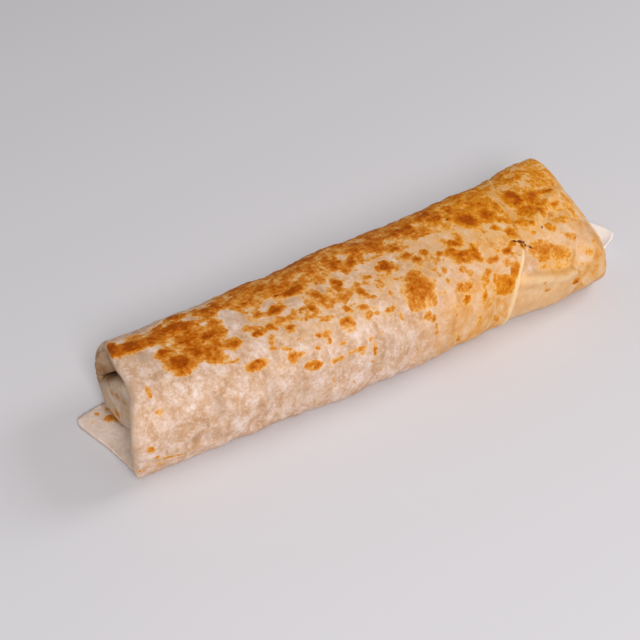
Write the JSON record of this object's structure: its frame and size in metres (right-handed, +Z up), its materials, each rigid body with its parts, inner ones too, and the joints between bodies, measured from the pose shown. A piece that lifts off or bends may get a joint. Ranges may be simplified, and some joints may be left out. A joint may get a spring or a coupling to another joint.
{
  "type": "burrito",
  "caption": "Long griddled burrito: a soft flour tortilla rolled round its filling, toasted on top, with folded ends.",
  "frame": {"origin": "the middle of the bottom of the bounding box, on the surface that the roll lies on", "axes": "+X along the roll, from its open left end to its shut right end; +Z up; -Y is the side towards the viewer in the picture"},
  "size_m": [0.269, 0.0716, 0.0453],
  "materials": {
    "toasted_tortilla": "pale floury bread skin with toasted orange-brown patches, satin from a little oil"
  },
  "bodies": {
    "root": {"rolled_tortilla": "toasted_tortilla"}
  },
  "joints": []
}
